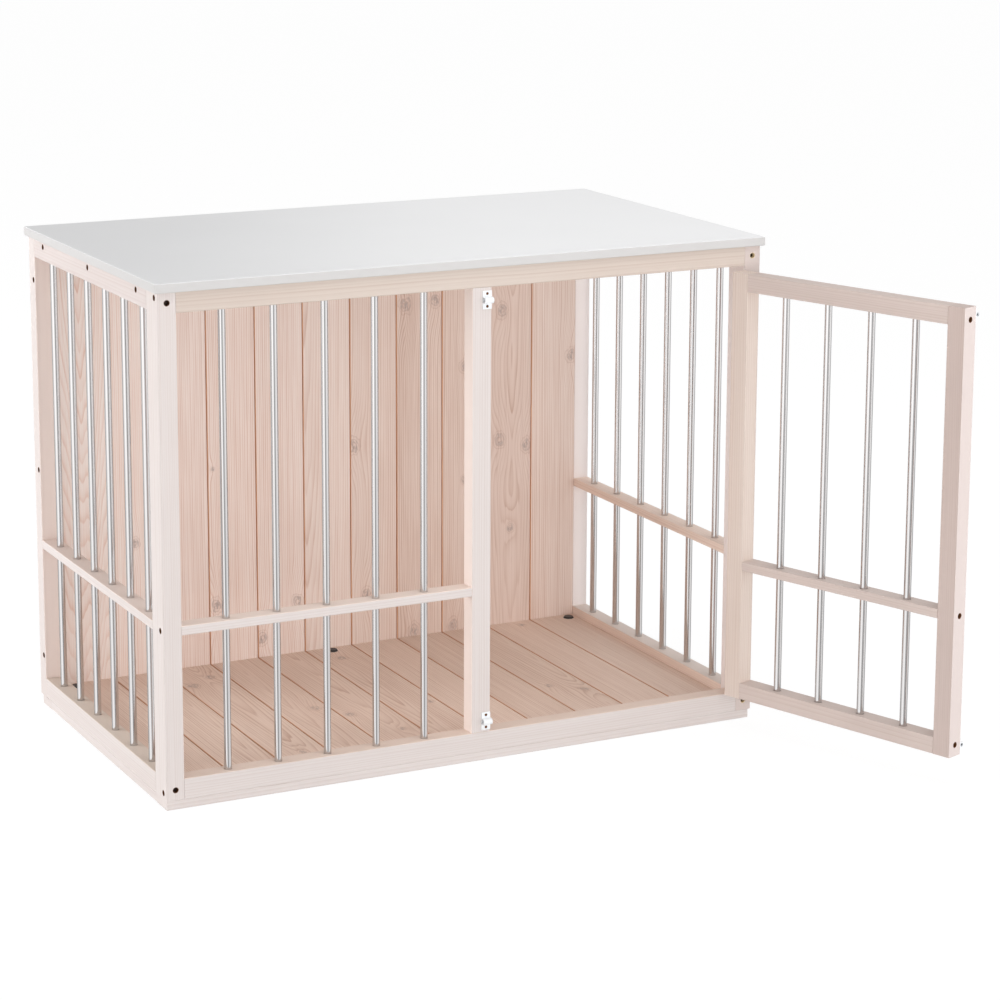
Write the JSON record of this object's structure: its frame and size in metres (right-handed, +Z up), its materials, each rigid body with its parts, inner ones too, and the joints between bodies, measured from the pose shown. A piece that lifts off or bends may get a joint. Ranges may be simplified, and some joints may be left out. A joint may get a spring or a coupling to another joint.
{
  "type": "pet crate",
  "caption": "Furniture style wooden pet crate with round metal bars, board back and floor, a flat top and a hinged barred door held shut by barrel bolts.",
  "frame": {"origin": "on the floor under the middle of the crate's post box", "axes": "+X to the right seen from the door side, +Y to the back wall, +Z up; the door side faces -Y"},
  "size_m": [1.2109, 1.0955, 0.845],
  "materials": {
    "laminate": "white melamine faced board, satin",
    "frame_pine": "whitewashed pine, matt",
    "wall_pine": "whitewashed pine boards, matt",
    "floor_pine": "whitewashed pine boards, matt",
    "bar_aluminium": "satin anodised",
    "zinc_steel": "zinc plated",
    "white_metal": "white coated steel",
    "screw_steel": "zinc plated",
    "black_plastic": "matt moulded"
  },
  "bodies": {
    "crate": {"back_board_01": "wall_pine", "back_board_02": "wall_pine", "back_board_03": "wall_pine", "back_board_04": "wall_pine", "back_board_05": "wall_pine", "back_board_06": "wall_pine", "back_board_07": "wall_pine", "back_board_08": "wall_pine", "back_board_09": "wall_pine", "back_board_10": "wall_pine", "back_board_11": "wall_pine", "base_back_batten": "frame_pine", "base_cross_battens": "frame_pine", "base_front_batten": "frame_pine", "divider_post": "frame_pine", "floor_board_01": "floor_pine", "floor_board_02": "floor_pine", "floor_board_03": "floor_pine", "floor_board_04": "floor_pine", "floor_board_05": "floor_pine", "floor_board_06": "floor_pine", "floor_board_07": "floor_pine", "floor_board_08": "floor_pine", "floor_board_09": "floor_pine", "floor_board_10": "floor_pine", "floor_board_11": "floor_pine", "floor_caps": "black_plastic", "frame_screws": "screw_steel", "front_bars": "bar_aluminium", "front_bottom_rail": "frame_pine", "front_left_post": "frame_pine", "front_mid_rail": "frame_pine", "front_right_post": "frame_pine", "front_top_rail": "frame_pine", "hinge_pins": "zinc_steel", "hinge_post_leaves": "zinc_steel", "latch_keepers": "white_metal", "left_bars": "bar_aluminium", "left_bottom_rail": "frame_pine", "left_mid_rail": "frame_pine", "left_top_rail": "frame_pine", "rear_left_post": "frame_pine", "rear_right_post": "frame_pine", "right_bars": "bar_aluminium", "right_bottom_rail": "frame_pine", "right_mid_rail": "frame_pine", "right_top_rail": "frame_pine", "top_board": "laminate", "top_cleats": "frame_pine"},
    "door": {"bolt_housings": "white_metal", "door_bars": "bar_aluminium", "door_bottom_rail": "frame_pine", "door_free_stile": "frame_pine", "door_hinge_stile": "frame_pine", "door_mid_rail": "frame_pine", "door_screws": "screw_steel", "door_top_rail": "frame_pine", "hinge_door_leaves": "zinc_steel"},
    "upper_slide": {"upper_bolt": "zinc_steel"},
    "lower_slide": {"lower_bolt": "zinc_steel"}
  },
  "joints": [
    {"name": "door_hinge", "type": "hinge", "parent": "crate", "child": "door", "pos_m": [0.507, -0.3176, 0.422], "axis": [0, 0, 1], "range_deg": [-109, 66]},
    {"name": "upper_bolt_slide", "type": "slide", "parent": "door", "child": "upper_slide", "axis": [0.3256, -0.9455, 0], "range_m": [0, 0.018]},
    {"name": "lower_bolt_slide", "type": "slide", "parent": "door", "child": "lower_slide", "axis": [0.3256, -0.9455, 0], "range_m": [0, 0.018]}
  ]
}
